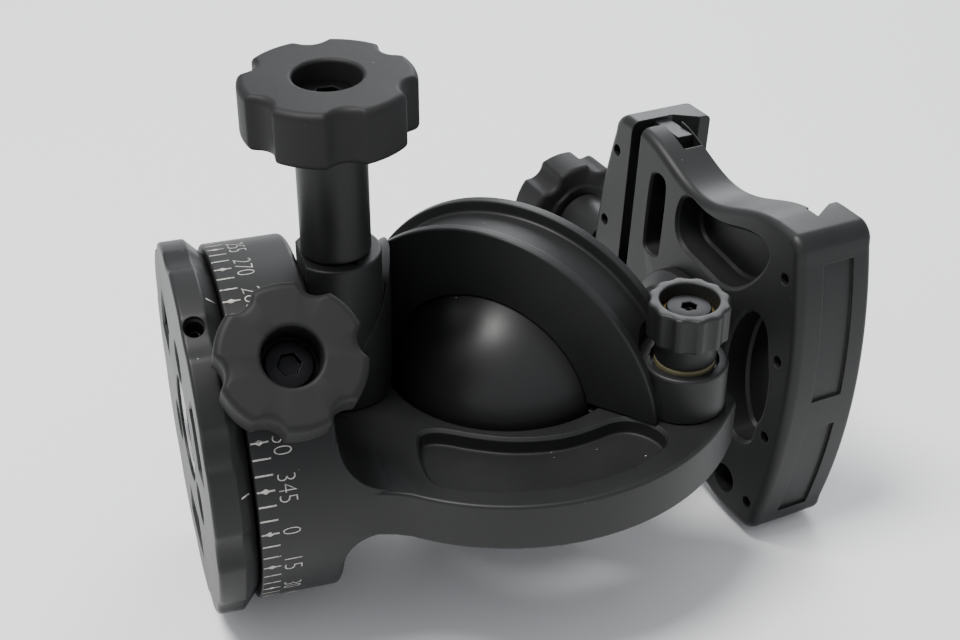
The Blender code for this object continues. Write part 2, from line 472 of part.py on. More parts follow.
def build_clamp():
    low, high, floor = CLAMP_H, CLAMP_H + CLAMP_THICK, CLAMP_H + CLAMP_FLOOR
    along = turned_frame(CLAMP, (0, 0, 0), (0, 1, 0), (0, 0, 1))      # local X out, local Y across
    relief = floor - CLAMP_RELIEF
    section = [(low, -0.030), (high, -0.030), (high, -0.0166), (high - 0.0022, -0.0166), (relief, -0.0192),
               (relief, -0.0164), (floor, -0.0164), (floor, CLAMP_SPLIT - 0.0004), (relief, CLAMP_SPLIT),
               (low, CLAMP_SPLIT)]
    body = slab("clamp_body", section, -0.03, 0.03, along, ANODISED)
    combine(body, slab("clamp_plan", clamp_outline(), low, high, CLAMP, cutter=True), "INTERSECT")
    far_section = [(low, JAW_IN), (floor, JAW_IN), (high - 0.0022, JAW_IN - 0.0026),
                   (high, JAW_IN - 0.0026), (high, 0.030), (low, 0.030)]
    jaw = slab("moving_jaw", far_section, -0.03, 0.03, along, ANODISED)
    combine(jaw, slab("jaw_plan", clamp_outline(), low, high, CLAMP, cutter=True), "INTERSECT")
    upper = arc(-0.0010, 0.0150, 0.0016, 250, 290, 3) + [(0.0035, 0.0175), (0.0035, 0.0205)] \
        + arc(-0.0130, 0.0205, 0.0035, 90, 200, 5)
    near = [(-0.0130, 0.0085), (-0.0185, 0.0095), (-0.0215, 0.0055), (-0.0222, 0.0), (-0.0215, -0.0055),
            (-0.0185, -0.0095), (-0.0130, -0.0085), (-0.0115, 0.0)]
    for i, plan in enumerate((upper, near, [(x, -y) for x, y in reversed(upper)])):
        cut(body, slab("clamp_pocket_%d" % i, plan, low - 0.001, low + 0.0050, CLAMP, cutter=True))
    slot = arc(0.0115, 0.0190, 0.0016, 0, 180, 5) + arc(0.0115, 0.0095, 0.0016, 180, 360, 5)
    cut(body, slab("clamp_slot", slot, low - 0.001, low + 0.0040, CLAMP, cutter=True))
    for i, (w, u) in enumerate(((-0.0224, 0.0208), (-0.0239, 0.0070), (-0.0239, -0.0070), (-0.0224, -0.0208))):
        spot = CLAMP @ Matrix.Translation((w + 0.0004, u, 0))
        cut(body, rod("near_hole_%d" % i, 0.0008, low - 0.001, low + 0.0040, spot, steps=10, cutter=True))
        spot = CLAMP @ Matrix.Translation((-w - 0.0004, u, 0))
        cut(jaw, rod("far_hole_%d" % i, 0.0008, low - 0.001, low + 0.0040, spot, steps=10, cutter=True))
    screw_mid = low + CLAMP_SCREW_H
    across = turned_frame(CLAMP, (0, 0, screw_mid), (1, 0, 0), (0, 1, 0))
    cut(body, rod("clamp_screw_bore", 0.0030, 0.0040, 0.0200, across, steps=16, cutter=True),
        lathe("stem_screw_bore", [(0, floor + 0.001), (0.0048, floor + 0.001), (0.0048, floor - 0.0032),
              (0.0028, floor - 0.0032), (0.0028, low - 0.001), (0, low - 0.001)], CLAMP, steps=20, cutter=True))
    cut(jaw, rod("jaw_screw_bore", 0.0030, 0.0100, 0.0400, across, steps=16, cutter=True))
    rod("clamp_screw", 0.0024, 0.0085, CLAMP_KNOB_W0 - GAP, across, STEEL, 14)
    sleeve("clamp_knob_sleeve", 0.0028, 0.0050, CLAMP_NEAR + CLAMP_BULGE + 0.0004, CLAMP_KNOB_W0 - GAP,
           across, ANODISED, 24)
    knob_grip("clamp_knob_grip", CLAMP_KNOB_R, 0.0028, CLAMP_KNOB_W0, CLAMP_KNOB_W1, 0.0030, 0.0041, across, 20)
    lathe("clamp_knob_screw", [(0, CLAMP_KNOB_W1 - 0.0022), (0.0034, CLAMP_KNOB_W1 - 0.0022),
          (0.0034, CLAMP_KNOB_W1 - 0.0033), (0.0023, CLAMP_KNOB_W1 - 0.0033),
          (0.0023, CLAMP_KNOB_W0 + 0.0002), (0, CLAMP_KNOB_W0 + 0.0002)], across, STEEL, 14)
    for i, u in enumerate((0.0145, -0.0145)):
        line = turned_frame(CLAMP, (0, u, screw_mid), (1, 0, 0), (0, 1, 0))
        cut(body, rod("guide_bore_%d" % i, 0.0015, 0.0070, 0.0200, line, steps=12, cutter=True))
        cut(jaw, rod("guide_seat_%d" % i, 0.0015, 0.0190, 0.0228, line, steps=12, cutter=True))
        rod("jaw_guide_pin_%d" % (i + 1), 0.0012, 0.0098, 0.0225, line, BRIGHT, 10)
    lathe("stem_screw", [(0, floor - 0.0004), (0.0043, floor - 0.0004), (0.0043, floor - 0.0029),
          (0.0023, floor - 0.0029), (0.0023, 0.0254), (0, 0.0254)], CLAMP, STEEL, 16)


def lay_down():
    """Settle each piece's shape, then lean the whole head and put the middle of its underside at zero."""
    pieces = [obj for obj in PARTS.objects if obj.type == "MESH"]
    bpy.context.view_layer.update()
    view = bpy.context.evaluated_depsgraph_get()
    shapes = [bpy.data.meshes.new_from_object(obj.evaluated_get(view)) for obj in pieces]
    for obj, shape in zip(pieces, shapes):
        obj.modifiers.clear()
        obj.data = shape
    for obj in list(CUTTERS.objects):
        bpy.data.objects.remove(obj, do_unlink=True)
    lean = Matrix.Translation(-ORIGIN) @ Matrix.Rotation(-LEAN, 4, "Y")
    for obj in PARTS.objects:
        if obj.parent is None:
            obj.matrix_world = lean @ obj.matrix_world


build_base()
build_body()
build_arm()
build_ball()
build_main_knob()
build_lock_knob()
build_tension()
build_clamp()
lay_down()
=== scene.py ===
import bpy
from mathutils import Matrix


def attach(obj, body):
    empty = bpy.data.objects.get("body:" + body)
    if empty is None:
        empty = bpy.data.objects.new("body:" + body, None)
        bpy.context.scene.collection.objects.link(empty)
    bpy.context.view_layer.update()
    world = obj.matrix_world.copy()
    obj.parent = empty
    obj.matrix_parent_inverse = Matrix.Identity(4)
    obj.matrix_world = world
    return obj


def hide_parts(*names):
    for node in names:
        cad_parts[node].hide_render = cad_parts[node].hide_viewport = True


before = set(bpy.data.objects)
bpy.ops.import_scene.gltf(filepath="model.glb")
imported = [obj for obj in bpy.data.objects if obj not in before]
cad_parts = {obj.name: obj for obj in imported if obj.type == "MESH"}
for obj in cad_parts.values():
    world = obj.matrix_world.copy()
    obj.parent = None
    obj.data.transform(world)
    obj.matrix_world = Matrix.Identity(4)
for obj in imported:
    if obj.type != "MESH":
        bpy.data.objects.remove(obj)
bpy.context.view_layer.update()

import math

import bmesh
import bpy
import numpy as np
from mathutils import Matrix

# ---- How the head lies: on the rim of its base and a corner of its clamp, so that the pan axis rises a
# little towards the clamp.  Shapes are worked out in millimetres along the head's own axes, x along the
# pan axis from the base's face and z along the main knob, and laid on the table at the end.
LEAN = math.radians(1.1)
UNDER_MIDDLE = np.array((51.3, 9.83, -27.99))
lean = np.array(((math.cos(LEAN), 0, -math.sin(LEAN)), (0, 1, 0), (math.sin(LEAN), 0, math.cos(LEAN))))


def laid(points):
    """Head millimetres to table metres: lean the points, then measure from under the head's middle."""
    return (points @ lean.T - UNDER_MIDDLE) / 1000


# ---- Camera: looks down on the head from a short distance in front of it.
LENS_PLACE = np.array((-14.88, -200.82, 152.60))
LENS_ROUND, LENS_DOWN, LENS_ROLL = (math.radians(a) for a in (-16.83, 34.06, 0.27))

backward = np.array((math.sin(LENS_ROUND) * math.cos(LENS_DOWN),
                     -math.cos(LENS_ROUND) * math.cos(LENS_DOWN), math.sin(LENS_DOWN)))
level = np.cross((0, 0, 1), backward)
level /= np.linalg.norm(level)
upright = np.cross(backward, level)
sideways = math.cos(LENS_ROLL) * level + math.sin(LENS_ROLL) * upright
upwards = math.cos(LENS_ROLL) * upright - math.sin(LENS_ROLL) * level
lens = bpy.data.cameras.new("table_camera")
lens.lens, lens.sensor_width, lens.sensor_fit = 62.3, 36.0, "HORIZONTAL"
lens.clip_start, lens.clip_end = 0.01, 50.0
camera = bpy.data.objects.new("table_camera", lens)
camera.matrix_world = (Matrix.Translation(laid(LENS_PLACE))
                       @ Matrix((lean @ np.column_stack((sideways, upwards, backward))).tolist()).to_4x4())
bpy.context.collection.objects.link(camera)
bpy.context.scene.camera = camera


# ---- Studio: a white tent, which is the even pale sky, with one large soft lamp overhead and a weaker
# one low behind, so that flat tops and upper edges shine softly and the front stays dark.
def softbox(name, place, aim, size, power, colour):
    lamp = bpy.data.lights.new(name, "AREA")
    lamp.shape, lamp.size, lamp.energy, lamp.color = "DISK", size, power, colour
    out = np.array(place, float) - np.array(aim, float)
    out /= np.linalg.norm(out)
    side = np.cross((0.0, 1.0, 0.01), out)
    side /= np.linalg.norm(side)
    box = bpy.data.objects.new(name, lamp)
    box.matrix_world = (Matrix.Translation(place)
                        @ Matrix(np.column_stack((side, np.cross(out, side), out)).tolist()).to_4x4())
    bpy.context.collection.objects.link(box)


softbox("overhead_lamp", (-0.24, -0.02, 0.72), (0, 0, 0.03), 0.30, 7.6, (1.0, 0.99, 0.97))
softbox("rear_lamp", (0.35, 0.75, 0.45), (0, 0, 0.03), 0.45, 4.0, (0.95, 0.98, 1.0))
tent = bpy.data.worlds.new("white_tent")
tent.use_nodes = True
tent.node_tree.nodes["Background"].inputs["Color"].default_value = (0.93, 0.95, 1.0, 1.0)
tent.node_tree.nodes["Background"].inputs["Strength"].default_value = 0.80
bpy.context.scene.world = tent


# ---- Table top: pale grey card, matt, with a faint mottle and a few specks of dust.
class Wire:
    """A socket of one material's tree.  Arithmetic with wires or numbers adds Math nodes."""

    def __init__(self, tree, socket=None):
        self.tree, self.socket = tree, socket

    def node(self, kind, settings=(), values=(), out=0):
        """Add a node: its settings first, then its sockets' numbers or links.  Returns one output."""
        made = self.tree.nodes.new("ShaderNode" + kind)
        for key, value in dict(settings).items():
            setattr(made, key, value)
        for key, value in dict(values).items():
            if isinstance(value, Wire):
                self.tree.links.new(value.socket, made.inputs[key])
            else:
                made.inputs[key].default_value = value
        return Wire(self.tree, made.outputs[out])

    def sum(self, how, *terms):
        return self.node("Math", {"operation": how}, dict(enumerate(terms)))

    def __add__(self, other):
        return self.sum("ADD", self, other)

    __radd__ = __add__

    def __mul__(self, other):
        return self.sum("MULTIPLY", self, other)

    __rmul__ = __mul__

    def __sub__(self, other):
        return self.sum("SUBTRACT", self, other)

    def __rsub__(self, other):
        return self.sum("SUBTRACT", other, self)

    def __lt__(self, other):
        return self.sum("LESS_THAN", self, other)

    def __gt__(self, other):
        return self.sum("GREATER_THAN", self, other)

    def fade(self, low, high):
        """0 below low, 1 above high, smooth between."""
        return self.node("MapRange", {"interpolation_type": "SMOOTHSTEP"},
                         {"Value": self, "From Min": low, "From Max": high})

    def blend(self, first, second):
        """Colour first where this is 0 and second where it is 1."""
        return self.node("Mix", {"data_type": "RGBA"}, {0: self, 6: first, 7: second}, 2)

    def noise(self, scale, detail=3.0, rough=0.55, stretch=(1, 1, 1)):
        """Noise over the object's own coordinates, scale in cells per metre."""
        place = self.node("TexCoord", out=3)
        place = self.node("VectorMath", {"operation": "MULTIPLY"}, {0: place, 1: stretch})
        return self.node("TexNoise", (), {"Vector": place, "Scale": scale, "Detail": detail,
                                          "Roughness": rough})

    def specks(self, scale, size, share, seed=0.0):
        """1 on round specks: near the centres of a share of the cells of a Voronoi pattern."""
        place = self.node("TexCoord", out=3)
        place = self.node("VectorMath", {"operation": "ADD"}, {0: place, 1: (seed, seed, seed)})
        cells = {"Vector": place, "Scale": scale}
        near = self.node("TexVoronoi", (), cells, 0)
        pick = self.node("SeparateColor", (), {0: self.node("TexVoronoi", (), cells, 1)}, 0)
        return (near < size) * (pick > 1.0 - share)


def new_material(name):
    """A material with only its Principled shader, and a wire to build on."""
    made = bpy.data.materials.new(name)
    made.use_nodes = True
    return made, made.node_tree.nodes["Principled BSDF"], Wire(made.node_tree)


def plug(shader, **fields):
    """Numbers are set on the shader's own sockets and wires are linked to them."""
    for key, value in fields.items():
        socket = shader.inputs[key.replace("_", " ")]
        if isinstance(value, Wire):
            value.tree.links.new(value.socket, socket)
        else:
            socket.default_value = value


TABLE_HALF = 4.0
card_sheet = bpy.data.meshes.new("table_top")
card_sheet.from_pydata([(-TABLE_HALF, -TABLE_HALF, 0), (TABLE_HALF, -TABLE_HALF, 0),
                        (TABLE_HALF, TABLE_HALF, 0), (-TABLE_HALF, TABLE_HALF, 0)], [], [(0, 1, 2, 3)])
table_top = bpy.data.objects.new("table_top", card_sheet)
bpy.context.collection.objects.link(table_top)
card, shader, w = new_material("pale_card")
mottle = w.noise(9.0, 3.0)
dust = w.specks(18.0, 0.012, 0.25)
plug(shader, Base_Color=dust.blend(mottle.blend((0.87, 0.875, 0.875, 1), (0.91, 0.915, 0.915, 1)),
                                   (0.45, 0.44, 0.43, 1)),
     Roughness=0.65, Normal=w.node("Bump", (), {"Strength": 0.05, "Distance": 0.0003,
                                                "Height": w.noise(900.0, 4.0)}))
card_sheet.materials.append(card)


# ---- Base plate: a black anodised aluminium disc with eleven shallow finger notches, bevelled towards the
# body.  Its underside has three kidney pockets and the seats of three screws, all milled.
def seat(origin, along, side):
    """A place on the head: an origin, and a turn whose columns are X near side, Y, and Z along."""
    z = np.array(along, float)
    z /= np.linalg.norm(z)
    x = np.array(side, float)
    x -= z * (x @ z)
    x /= np.linalg.norm(x)
    return np.array(origin, float), np.column_stack((x, np.cross(z, x), z))


def skin(name, points, place, wrap=(False, True), caps=False):
    """Object from a grid of points: each joins its next neighbours both ways, round the ends where a
    direction wraps.  Caps close the first and last rows with one face each."""
    rows, cols = points.shape[:2]
    at, turn = place
    i = np.arange(rows if wrap[0] else rows - 1)[:, None]
    j = np.arange(cols if wrap[1] else cols - 1)[None, :]
    ahead, beside = (i + 1) % rows, (j + 1) % cols
    quads = np.stack((i * cols + j, i * cols + beside, ahead * cols + beside, ahead * cols + j), -1)
    faces = quads.reshape(-1, 4).tolist()
    if caps:
        faces += [list(range(cols))[::-1], list(range((rows - 1) * cols, rows * cols))]
    mesh = bpy.data.meshes.new(name)
    mesh.from_pydata((points.reshape(-1, 3) @ turn.T + at).tolist(), [], faces)
    work = bmesh.new()
    work.from_mesh(mesh)
    bmesh.ops.remove_doubles(work, verts=work.verts, dist=0.0005)
    bmesh.ops.recalc_face_normals(work, faces=work.faces)
    work.to_mesh(mesh)
    work.free()
    made = bpy.data.objects.new(name, mesh)
    bpy.context.collection.objects.link(made)
    return made


def eased(corners, closed=True, steps=5):
    """Outline through (x, y, radius) corners, each rounded by an arc that touches both its neighbours."""
    spots = np.array(corners, float)
    drawn = []
    for k, (x, y, radius) in enumerate(spots):
        here = spots[k, :2]
        if radius <= 0 or (not closed and k in (0, len(spots) - 1)):
            drawn.append(here[None])
            continue
        before, after = spots[k - 1, :2] - here, spots[(k + 1) % len(spots), :2] - here
        long_a, long_b = np.linalg.norm(before), np.linalg.norm(after)
        before, after = before / long_a, after / long_b
        half = 0.5 * math.acos(np.clip(before @ after, -0.9999, 0.9999))
        reach = min(radius / math.tan(half), 0.49 * long_a, 0.49 * long_b)
        middle = here + (before + after) / np.linalg.norm(before + after) * reach / math.cos(half)
        start, end = here + before * reach - middle, here + after * reach - middle
        sweep = math.acos(np.clip(start @ end / (start @ start), -1, 1))
        t = np.linspace(0, 1, steps)[:, None]
        drawn.append(middle + (np.sin((1 - t) * sweep) * start + np.sin(t * sweep) * end) / math.sin(sweep))
    return np.concatenate(drawn)


def softened(points, rounds=3):
    """Closed outline smoothed by cutting corners: each side keeps its middle half, several times over."""
    loop = np.array(points, float)
    for _ in range(rounds):
        ahead = np.roll(loop, -1, axis=0)
        loop = np.stack((0.75 * loop + 0.25 * ahead, 0.25 * loop + 0.75 * ahead), 1).reshape(-1, 2)
    return loop


def turned(name, profile, place, steps=160, closed=False, lobes=None, fade=(0, 1)):
    """Revolve (radius, height) points about the place's Z.  Lobes move a point out by a function of the
    angle, by a share that rises from 0 to 1 as its radius goes through the fade."""
    angle = np.arange(steps) * 2 * math.pi / steps
    radius = np.repeat(profile[:, :1], steps, 1)
    if lobes:
        share = np.clip((profile[:, :1] - fade[0]) / (fade[1] - fade[0]), 0, 1)
        radius = radius + share * share * (3 - 2 * share) * lobes(angle)[None]
    height = np.repeat(profile[:, 1:2], steps, 1)
    return skin(name, np.stack((radius * np.cos(angle), radius * np.sin(angle), height), -1), place,
                (closed, True))


def pressed(name, outline, levels, place):
    """Solid on a closed outline: at each (height, inset) level the outline is moved inwards along its
    own normals, and the first and last levels are closed."""
    ahead = np.roll(outline, -1, 0)
    if np.sum(outline[:, 0] * ahead[:, 1] - ahead[:, 0] * outline[:, 1]) < 0:
        outline = outline[::-1]
    along = np.roll(outline, -1, 0) - np.roll(outline, 1, 0)
    normal = np.column_stack((along[:, 1], -along[:, 0]))
    normal /= np.linalg.norm(normal, axis=1)[:, None] + 1e-9
    rows = [np.column_stack((outline - inset * normal, np.full(len(outline), height)))
            for height, inset in levels]
    return skin(name, np.stack(rows), place, caps=True)


def rounded_ends(low, high, low_r, high_r, steps=4):
    """Levels for pressed: a quarter round at each end."""
    a = np.linspace(0, math.pi / 2, steps)
    first = [(low + low_r * (1 - math.cos(t)), low_r * (1 - math.sin(t))) for t in a]
    last = [(high - high_r * (1 - math.sin(t)), high_r * (1 - math.cos(t))) for t in a]
    return first + last


def worked(piece, tools, how="DIFFERENCE"):
    """Cut, join or intersect with each tool in turn, and drop the tools."""
    for tool in tools:
        step = piece.modifiers.new(how.lower(), "BOOLEAN")
        step.operation, step.solver, step.object = how, "EXACT", tool
    bpy.context.view_layer.update()
    shape = bpy.data.meshes.new_from_object(piece.evaluated_get(bpy.context.evaluated_depsgraph_get()))
    piece.modifiers.clear()
    piece.data = shape
    for tool in tools:
        bpy.data.objects.remove(tool, do_unlink=True)
    return piece


def placed(piece, material, body, nodes=(), sharp=32.0):
    """Lay the finished shape on the table, shade it smooth but for its edges, give it its material, hang it
    on its body's empty and hide the model's parts that it stands for.
    """
    mesh = piece.data
    spots = np.empty(len(mesh.vertices) * 3)
    mesh.vertices.foreach_get("co", spots)
    mesh.vertices.foreach_set("co", laid(spots.reshape(-1, 3)).ravel())
    mesh.shade_smooth()
    mesh.set_sharp_from_angle(angle=math.radians(sharp))
    mesh.materials.clear()
    mesh.materials.append(material)
    mesh.update()
    even = piece.modifiers.new("flat_faces_flat", "WEIGHTED_NORMAL")
    even.keep_sharp = True
    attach(piece, body)
    if nodes:
        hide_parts(*nodes)
    return piece


def coated(name, colour, rough, metal=0.0, grain=0.10, grain_size=5000.0, edge=0.22, edge_light=0.05,
           dusty=1.0, spread=0.10, scratched=0.4, specular=0.27):
    """A worn finish.  Roughness varies with broad and fine noise, fine grain gives a bump, edges within
    a small radius (edge, millimetres) are rubbed lighter and rounded, and pale dust specks and a thin
    film lie on what faces up.  Scratches are the middle level of a drawn-out noise."""
    made, shader, w = new_material(name)
    broad, fine = w.noise(70.0, 3.0), w.noise(1400.0, 3.0)
    rounding = w.node("Bevel", {"samples": 4}, {"Radius": edge / 1000})
    facing = w.node("NewGeometry", out=1)
    bend = 1.0 - w.node("VectorMath", {"operation": "DOT_PRODUCT"}, {0: rounding, 1: facing}, 1)
    rubbed = bend.fade(0.015, 0.16) * fine.fade(0.35, 0.62)
    up_share = w.node("SeparateXYZ", (), {0: facing}, 2).fade(-0.1, 0.9)
    dust = (w.specks(420.0, 0.045, 0.16) + w.specks(900.0, 0.06, 0.05, 3.3)) * (up_share + 0.08)
    dust = dust * w.noise(45.0, 2.0).fade(0.45, 0.62) * dusty
    film = up_share * w.noise(110.0, 4.0).fade(0.35, 0.8) * 0.010 * dusty
    line = w.noise(55.0, 1.0, 0.4, (1.0, 24.0, 9.0))
    line = line.sum("ABSOLUTE", line - 0.5).sum("LESS_THAN", line.sum("ABSOLUTE", line - 0.5), 0.0022)
    line = line * w.noise(60.0, 1.0).fade(0.58, 0.7) * scratched
    darker = tuple(c * 0.82 for c in colour)
    tone = broad.fade(0.3, 0.7).blend((*darker, 1), (*colour, 1))
    tone = (rubbed * 0.6).blend(tone, tuple(min(1.0, c + edge_light) for c in colour) + (1,))
    tone = (film + line * 0.03).blend(tone, (0.33, 0.33, 0.32, 1))
    tone = dust.blend(tone, (0.42, 0.42, 0.41, 1))
    plug(shader, Base_Color=tone, Metallic=metal, Specular_IOR_Level=specular,
         Roughness=rough - spread * 0.5 + spread * broad + (fine - 0.5) * 0.08 + dust * 0.3,
         Normal=w.node("Bump", (), {"Strength": grain, "Distance": 0.00003, "Normal": rounding,
                                    "Height": w.noise(grain_size, 2.0) + dust * 2.0}))
    return made


anodised = coated("black_anodised", (0.0115, 0.0118, 0.0118), 0.44)
PAN = seat((0, 0, 0), (1, 0, 0), (0, 0, 1))
RIM_R, BASE_THICK, NOTCH_R, NOTCH_FAR, NOTCHES = 28.0, 6.0, 7.4, 34.55, 11
FIRST_NOTCH = math.radians(60.5)


def notch(angle, radius, count, first, bite_r, bite_far, blend):
    """How far a notched rim lies inside its full radius: round bites of bite_r whose centres are at
    bite_far, joined to the rim by a smooth minimum."""
    off = (angle - first + math.pi / count) % (2 * math.pi / count) - math.pi / count
    under = bite_r ** 2 - (bite_far * np.sin(off)) ** 2
    wall = np.where(under > 0, bite_far * np.cos(off) - np.sqrt(np.maximum(under, 0)), radius + 4 * blend)
    wall = np.minimum(wall, radius + 4 * blend)
    h = np.clip(0.5 + 0.5 * (wall - radius) / blend, 0, 1)
    return wall * (1 - h) + radius * h - blend * h * (1 - h) - radius


base = turned("base_disc", eased([(8.1, 0, .15), (RIM_R, 0, .6), (RIM_R, 3.8, .5), (25.7, BASE_THICK, .4),
                                  (8.1, BASE_THICK, .15)]), PAN, 440, True,
              lambda a: notch(a, RIM_R, NOTCHES, FIRST_NOTCH, NOTCH_R, NOTCH_FAR, 0.35), (24.5, 27.5))
kidney_turn = np.radians(np.linspace(-17, 17, 12))
kidney = np.concatenate((21.5 * np.column_stack((np.cos(kidney_turn), np.sin(kidney_turn))),
                         15.0 * np.column_stack((np.cos(kidney_turn), np.sin(kidney_turn)))[::-1]))
milled = []
for turn in np.radians((0, 120, 240)):
    ahead = (math.cos(turn + math.pi / 3), math.sin(turn + math.pi / 3))
    spun = kidney @ np.array(((ahead[0], ahead[1]), (-ahead[1], ahead[0])))
    milled.append(pressed("kidney", softened(spun, 1), [(-1.0, -0.5), (0.0, -0.3), (0.35, 0.0), (2.8, 0.1),
                                                        (3.2, 0.5)], PAN))
    spot = seat((0, -12.2 * math.sin(turn), 12.2 * math.cos(turn)), (1, 0, 0), (0, 0.3, 1))
    milled.append(turned("screw_seat", np.array([(0, -1), (3.4, -1), (3.4, 0), (3.1, .3), (3.1, 2.6),
                                                 (1.7, 2.6), (1.7, 7), (0, 7)]), spot, 48))
SET_ANGLE = math.radians(24)
set_place = seat((1.9, 0, 0), (0, -math.sin(SET_ANGLE), math.cos(SET_ANGLE)), (1, 0, 0))
milled.append(turned("set_screw_hole", np.array([(0, 22.5), (1.3, 22.5), (1.3, 27.0), (1.55, 27.3), (1.6, 31),
                                                 (0, 31)]), set_place, 40))
worked(base, milled)
placed(base, anodised, "base", ["base_plate"])


# ---- Screws in the base: black oxide steel.  Three cap screws hold the hub, and a small set screw with a
# hexagon socket sits in the rim.
def socketed(name, place, top, head_r, head_low, shank_r, low, key, deep, ease=0.25):
    """Turned screw whose head has a hexagon socket: key is the socket's radius over its corners."""
    body = turned(name, eased([(0, low, 0), (shank_r, low, .15), (shank_r, head_low, 0),
                               (head_r, head_low, .1), (head_r, top, ease), (0, top, 0)], False), place, 64)
    six = np.arange(6) * math.pi / 3
    hexagon = key * np.column_stack((np.cos(six), np.sin(six)))
    return worked(body, [pressed("hexagon", hexagon, [(top - deep, .12), (top - deep + .1, 0), (top - .15, 0),
                                                      (top + .4, -.5)], place)])


black_steel = coated("black_oxide_steel", (0.016, 0.016, 0.017), 0.38, 1.0, 0.06, 3500.0, 0.12, 0.10, 0.5)
for k, turn in enumerate(np.radians((0, 120, 240))):
    under = seat((0, -12.2 * math.sin(turn), 12.2 * math.cos(turn)), (-1, 0, 0), (0, 0, 1))
    placed(socketed("hub_cap_screw_%d" % (k + 1), under, -0.6, 2.7, -2.3, 1.3, -10.0, 1.5, 1.3), black_steel,
           "base", ["hub_screw_%d" % (k + 1)])
placed(socketed("rim_set_screw", set_place, 25.2, 1.1, 23.0, 1.09, 22.8, 0.62, 0.9, 0.15), black_steel,
       "base", ["base_set_screw"])


# ---- Tripod bush and hub: turned stainless steel in the middle of the base, with a 3/8 inch thread of
# 16 turns to the inch, and the brass and spring steel rings that the body turns on.
def machined(name, colour, rough, size=2600.0):
    """Bare turned metal: fine rings round the pan axis, from a noise drawn out along the object's x, vary its
    shine and bump.
    """
    made, shader, w = new_material(name)
    rings = w.noise(size, 2.0, 0.5, (8.0, 1.0, 1.0))
    stain = w.noise(240.0, 4.0).fade(0.4, 0.75)
    plug(shader, Base_Color=stain.blend((*colour, 1), tuple(c * 0.72 for c in colour) + (1,)), Metallic=1.0,
         Roughness=rough + stain * 0.14 + (rings - 0.5) * 0.12,
         Normal=w.node("Bump", (), {"Strength": 0.12, "Distance": 0.00002, "Height": rings}))
    return made


bright_steel = machined("turned_steel", (0.46, 0.46, 0.47), 0.26)
PITCH, THREAD_R, BUSH_R, BUSH_LOW, BUSH_TOP = 1.5875, 4.85, 7.8, 0.4, 5.6
turns = 120
t = np.linspace(0, 1, turns + 1)[:-1]
depth = np.linspace(BUSH_LOW + 0.3, BUSH_TOP - 0.3, 56)
phase = (depth[:, None] / PITCH - t[None]) % 1.0
inner_r = THREAD_R + 0.8 * np.abs(phase - 0.5)
inner = np.stack((inner_r * np.cos(2 * math.pi * t), inner_r * np.sin(2 * math.pi * t),
                  np.repeat(depth[:, None], turns, 1)), -1)
outer = np.array([(5.3, BUSH_TOP), (BUSH_R - .2, BUSH_TOP), (BUSH_R, BUSH_TOP - .2), (BUSH_R, BUSH_LOW + .2),
                  (BUSH_R - .2, BUSH_LOW), (5.3, BUSH_LOW)])
outer = np.stack((outer[:, :1] * np.cos(2 * math.pi * t), outer[:, :1] * np.sin(2 * math.pi * t),
                  np.repeat(outer[:, 1:], turns, 1)), -1)
placed(skin("threaded_bush", np.concatenate((inner, outer)), PAN, (True, True)), bright_steel, "base",
       ["tripod_bushing"])
brass = machined("turned_brass", (0.60, 0.42, 0.16), 0.34)
spring_steel = machined("spring_steel", (0.42, 0.42, 0.44), 0.30)


# ---- Body: one block of black anodised aluminium, turned and milled.  A short cylinder carries the degree
# scale, and the lower jaw grows out of it as a flat plate with a hole for the ball, a milled pocket,
# and half of a ring that runs under the ball.
BALL_X, BALL_R, SEAT_R = 50.0, 17.6, 17.9
BODY_R, BODY_X0, BODY_X1 = 26.8, 6.3, 18.4
PLATE_TOP, PLATE_BOTTOM = 3.4, -4.5
UPRIGHT = seat((0, 0, 0), (0, 0, 1), (1, 0, 0))
BALL_PLACE = seat((BALL_X, 0, 0), (0, 0, 1), (1, 0, 0))
RING = seat((BALL_X, 0, 0), (-1, -1, 0), (0, 0, 1))
MAIN = seat((24.0, -1.1, 0), (0, 0, 1), (1, 0, 0))
EYE = seat((71.8, -18.4, 0), (0, 0, 1), (1, 0, 0))
LOCK_ANGLE = math.radians(42)
LOCK = seat((12.9, 0, 0), (0, -math.sin(LOCK_ANGLE), math.cos(LOCK_ANGLE)), (1, 0, 0))


def sweep(cx, cy, radius, start, end, count):
    """Points on an arc, angles in degrees."""
    a = np.radians(np.linspace(start, end, count))
    return np.column_stack((cx + radius * np.cos(a), cy + radius * np.sin(a)))


def sphere(name, radius, place, steps=96):
    """Revolve a half circle."""
    a = np.linspace(-math.pi / 2, math.pi / 2, steps // 2 + 1)
    return turned(name, np.column_stack((radius * np.cos(a), radius * np.sin(a))), place, steps)


def ring_section(outer, groove):
    """Section of the ring round the ball: a seat that follows the ball, and two flanges with a groove."""
    half = 5.5
    z = np.linspace(-half, half, 7)
    inside = [(math.sqrt(SEAT_R ** 2 - h * h) - 0.6, h, 0) for h in z]
    rim = [(outer, half, .35)]
    if groove:
        rim += [(outer, 3.9, .25), (outer - groove, 3.6, .5), (outer - groove, -3.6, .5), (outer, -3.9, .25)]
    return eased(inside + rim + [(outer, -half, .35)])


